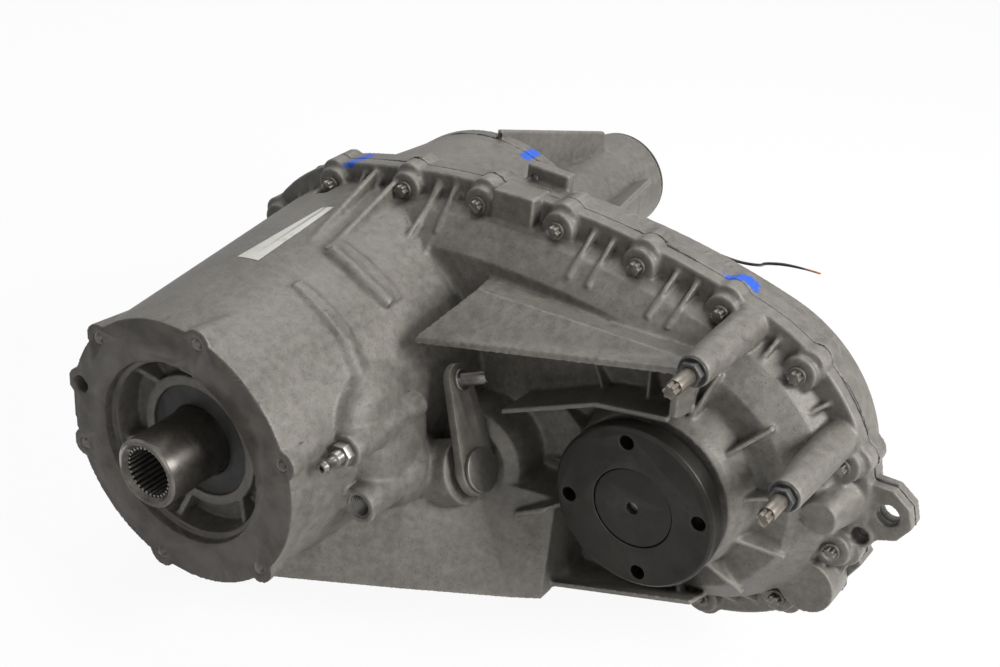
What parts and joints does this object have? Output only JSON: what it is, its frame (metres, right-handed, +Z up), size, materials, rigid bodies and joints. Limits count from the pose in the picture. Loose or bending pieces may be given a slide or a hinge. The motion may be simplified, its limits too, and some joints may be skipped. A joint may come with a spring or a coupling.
{
  "type": "transfer case",
  "caption": "Chain-drive transfer case: ribbed cast housing in two halves with a tapered snout, tail housing, front output flange and shift lever.",
  "frame": {"origin": "centre of the machined face that bolts to the transmission, on the main shaft line", "axes": "+Y rearwards along the main shaft, +X from the main shaft to the front output shaft, +Z up"},
  "size_m": [0.5466, 0.607, 0.3021],
  "materials": {
    "cast_aluminium": "mottled satin as-cast aluminium, machined on its joint faces",
    "steel": "turned and ground steel",
    "dark_steel": "near-black oiled steel",
    "lever_steel": "grey rolled steel plate",
    "zinc": "zinc plated steel",
    "black_oxide": "black oxide",
    "rubber": "black nitrile rubber",
    "bronze": "sintered bronze",
    "plastic": "black moulded plastic",
    "paper": "bare white paper label",
    "insulation": "dark wire insulation, bare copper at the end",
    "magnet": "ferrite"
  },
  "bodies": {
    "casing": {"front_case": "cast_aluminium", "rear_case": "cast_aluminium", "tail_housing": "cast_aluminium", "case_bolts": "zinc", "tail_bolts": "zinc", "case_dowels": "steel", "case_studs": "zinc", "stud_nuts": "black_oxide", "vent_fitting": "zinc", "oil_plugs": "zinc", "indicator_switch": "plastic", "switch_wire": "insulation", "input_bearing_outer_race": "steel", "output_bearing_outer_race": "steel", "main_bearing_outer_race": "steel", "output_needle_bearing": "steel", "input_seal": "rubber", "output_seal": "rubber", "tail_seal": "rubber", "tail_bushing": "bronze", "ring_gear": "steel", "drive_chain": "dark_steel", "oil_pump": "cast_aluminium", "pickup_tube": "plastic", "oil_magnet": "magnet", "shift_rail": "steel", "detent_plunger": "steel", "detent_spring": "steel", "detent_plug": "steel", "case_label": "paper"},
    "input": {"input_shaft": "steel", "input_bearing_inner_race": "steel"},
    "input_balls": {"input_bearing_balls": "steel"},
    "carrier": {"planet_carrier": "steel", "planet_pins": "steel"},
    "planet_1": {"planet_1": "steel"},
    "planet_2": {"planet_2": "steel"},
    "planet_3": {"planet_3": "steel"},
    "main": {"main_shaft": "steel", "mode_hub": "steel", "main_bearing_inner_race": "steel", "tone_wheel": "steel"},
    "main_balls": {"main_bearing_balls": "steel"},
    "range_sleeve": {"range_sleeve": "steel"},
    "mode_sleeve": {"mode_sleeve": "steel"},
    "drive_sprocket": {"drive_sprocket": "steel"},
    "front_output": {"front_output_shaft": "steel", "driven_sprocket": "steel", "output_bearing_inner_race": "steel", "front_output_flange": "dark_steel", "output_nut": "steel", "output_washer": "zinc", "output_cap": "dark_steel"},
    "output_balls": {"output_bearing_balls": "steel"},
    "shift": {"shift_shaft": "lever_steel", "shift_sector": "steel", "shift_lever": "lever_steel", "lever_pin": "lever_steel"},
    "range_fork": {"range_fork": "cast_aluminium"},
    "mode_fork": {"mode_fork": "cast_aluminium"}
  },
  "joints": [
    {"name": "input_spin", "type": "hinge", "parent": "casing", "child": "input", "pos_m": [0, 0.04, 0], "axis": [0, 1, 0], "continuous": true},
    {"name": "input_balls_spin", "type": "hinge", "parent": "casing", "child": "input_balls", "pos_m": [0, 0.0445, 0], "axis": [0, 1, 0], "continuous": true},
    {"name": "main_spin", "type": "hinge", "parent": "casing", "child": "main", "pos_m": [0, 0.3, 0], "axis": [0, 1, 0], "continuous": true},
    {"name": "main_balls_spin", "type": "hinge", "parent": "casing", "child": "main_balls", "pos_m": [0, 0.3465, 0], "axis": [0, 1, 0], "continuous": true},
    {"name": "carrier_spin", "type": "hinge", "parent": "casing", "child": "carrier", "pos_m": [0, 0.088, 0], "axis": [0, 1, 0], "continuous": true},
    {"name": "planet_1_spin", "type": "hinge", "parent": "carrier", "child": "planet_1", "pos_m": [0, 0.088, 0.063], "axis": [0, 1, 0], "continuous": true},
    {"name": "planet_2_spin", "type": "hinge", "parent": "carrier", "child": "planet_2", "pos_m": [-0.05456, 0.088, -0.0315], "axis": [0, 1, 0], "continuous": true},
    {"name": "planet_3_spin", "type": "hinge", "parent": "carrier", "child": "planet_3", "pos_m": [0.05456, 0.088, -0.0315], "axis": [0, 1, 0], "continuous": true},
    {"name": "front_output_spin", "type": "hinge", "parent": "casing", "child": "front_output", "pos_m": [0.26035, 0.2, 0], "axis": [0, 1, 0], "continuous": true},
    {"name": "output_balls_spin", "type": "hinge", "parent": "casing", "child": "output_balls", "pos_m": [0.26035, 0.1885, 0], "axis": [0, 1, 0], "continuous": true},
    {"name": "drive_sprocket_spin", "type": "hinge", "parent": "casing", "child": "drive_sprocket", "pos_m": [0, 0.234, 0], "axis": [0, 1, 0], "continuous": true},
    {"name": "shift_turn", "type": "hinge", "parent": "casing", "child": "shift", "pos_m": [0.153, 0.13, -0.013], "axis": [0.8829, 0, 0.4695], "range_deg": [0, 40]},
    {"name": "range_fork_slide", "type": "slide", "parent": "casing", "child": "range_fork", "axis": [0, 1, 0], "range_m": [0, 0.012]},
    {"name": "mode_fork_slide", "type": "slide", "parent": "casing", "child": "mode_fork", "axis": [0, 1, 0], "range_m": [0, 0.01]},
    {"name": "range_sleeve_slide", "type": "slide", "parent": "main", "child": "range_sleeve", "axis": [0, 1, 0], "range_m": [0, 0.012]},
    {"name": "mode_sleeve_slide", "type": "slide", "parent": "main", "child": "mode_sleeve", "axis": [0, 1, 0], "range_m": [0, 0.01]}
  ],
  "couplings": [
    {"joint": "input_balls_spin", "follows": "input_spin", "ratio": 0.42846},
    {"joint": "main_spin", "follows": "input_spin", "ratio": 1},
    {"joint": "main_balls_spin", "follows": "input_spin", "ratio": 0.38727},
    {"joint": "carrier_spin", "follows": "input_spin", "ratio": 0.35714},
    {"joint": "planet_1_spin", "follows": "input_spin", "ratio": -1.6071},
    {"joint": "planet_2_spin", "follows": "input_spin", "ratio": -1.6071},
    {"joint": "planet_3_spin", "follows": "input_spin", "ratio": -1.6071},
    {"joint": "output_balls_spin", "follows": "front_output_spin", "ratio": 0.39667},
    {"joint": "drive_sprocket_spin", "follows": "front_output_spin", "ratio": 1},
    {"joint": "range_fork_slide", "follows": "shift_turn", "m_per_rad": 0.017188},
    {"joint": "range_sleeve_slide", "follows": "shift_turn", "m_per_rad": 0.017188},
    {"joint": "mode_fork_slide", "follows": "shift_turn", "m_per_rad": 0.014323},
    {"joint": "mode_sleeve_slide", "follows": "shift_turn", "m_per_rad": 0.014323}
  ]
}
